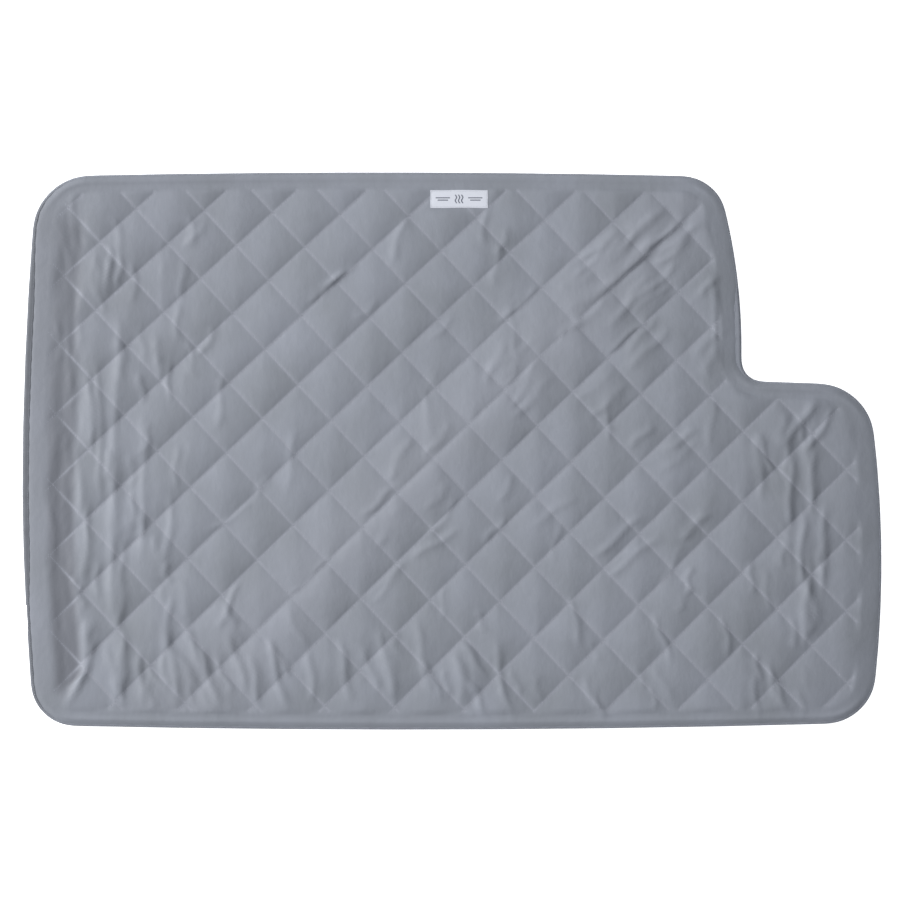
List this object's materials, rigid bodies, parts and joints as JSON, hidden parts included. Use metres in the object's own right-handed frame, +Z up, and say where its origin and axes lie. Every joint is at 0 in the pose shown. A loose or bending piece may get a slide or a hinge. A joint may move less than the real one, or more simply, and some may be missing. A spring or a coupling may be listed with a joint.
{
  "type": "infrared sauna blanket pad",
  "caption": "Flat L-shaped quilted heating pad with a bound edge, a fold line along its middle, a head cut-out and a low power inlet in its foot edge.",
  "frame": {"origin": "centre of the pad's outline, at the floor that its underside lies on", "axes": "+X from the foot end to the head end, +Y from the base half to the flap half, +Z up from the floor"},
  "size_m": [1.8, 1.169, 0.0211],
  "materials": {
    "backing": "thin spunbond backing",
    "base_cloth": "coated woven polyester, dark grey",
    "binding_cloth": "same microfibre, folded into a binding",
    "cable_jacket": "red silicone jacket, satin",
    "carrier_fleece": "needled fleece",
    "cutout_shell": "moulded black shell",
    "face_cloth": "soft brushed microfibre, light grey-blue, quilted",
    "felt": "grey needled insulation felt",
    "foil": "aluminised film, bright",
    "glass_cloth": "plain glass cloth",
    "inlet_shell": "moulded black nylon, fine grain",
    "label": "woven satin",
    "live_lead_jacket": "brown silicone jacket, satin",
    "pin": "turned and polished",
    "pin_carrier": "moulded heat-proof resin",
    "return_lead_jacket": "blue silicone jacket, satin",
    "screw": "zinc-plated",
    "sensor_lead_jacket": "white silicone jacket, satin",
    "sleeve": "black heat-shrink sleeve",
    "wadding": "white polyester wadding"
  },
  "bodies": {
    "base": {"base_bottom_cover": "base_cloth", "base_cable_splice": "sleeve", "base_edge_binding": "binding_cloth", "base_face_cover": "face_cloth", "base_heat_spreader": "glass_cloth", "base_heater_carrier": "carrier_fleece", "base_heating_cable": "cable_jacket", "base_insulation_felt": "felt", "base_link_lead": "live_lead_jacket", "base_link_splice": "sleeve", "base_live_lead": "live_lead_jacket", "base_live_splice": "sleeve", "base_quilt_backing": "backing", "base_quilt_batting": "wadding", "base_reflective_foil": "foil", "base_return_lead": "return_lead_jacket", "base_sensor_lead_a": "sensor_lead_jacket", "base_sensor_lead_b": "sensor_lead_jacket", "base_temperature_sensor": "sleeve", "base_thermal_cutout": "cutout_shell", "inlet_lower_shell": "inlet_shell", "inlet_pin_carrier": "pin_carrier", "inlet_power_pin_live": "pin", "inlet_power_pin_return": "pin", "inlet_screw_left": "screw", "inlet_screw_right": "screw", "inlet_signal_pin_a": "pin", "inlet_signal_pin_b": "pin", "inlet_upper_shell": "inlet_shell"},
    "flap": {"flap_bottom_cover": "base_cloth", "flap_cable_splice": "sleeve", "flap_edge_binding": "binding_cloth", "flap_face_cover": "face_cloth", "flap_heat_spreader": "glass_cloth", "flap_heater_carrier": "carrier_fleece", "flap_heating_cable": "cable_jacket", "flap_insulation_felt": "felt", "flap_link_lead": "live_lead_jacket", "flap_link_splice": "sleeve", "flap_quilt_backing": "backing", "flap_quilt_batting": "wadding", "flap_reflective_foil": "foil", "flap_return_lead": "return_lead_jacket", "flap_return_splice": "sleeve", "flap_thermal_cutout": "cutout_shell", "woven_label": "label"}
  },
  "joints": [
    {"name": "flap_fold", "type": "hinge", "parent": "base", "child": "flap", "pos_m": [0, 0, 0.025], "axis": [1, 0, 0], "range_deg": [0, 180]}
  ]
}
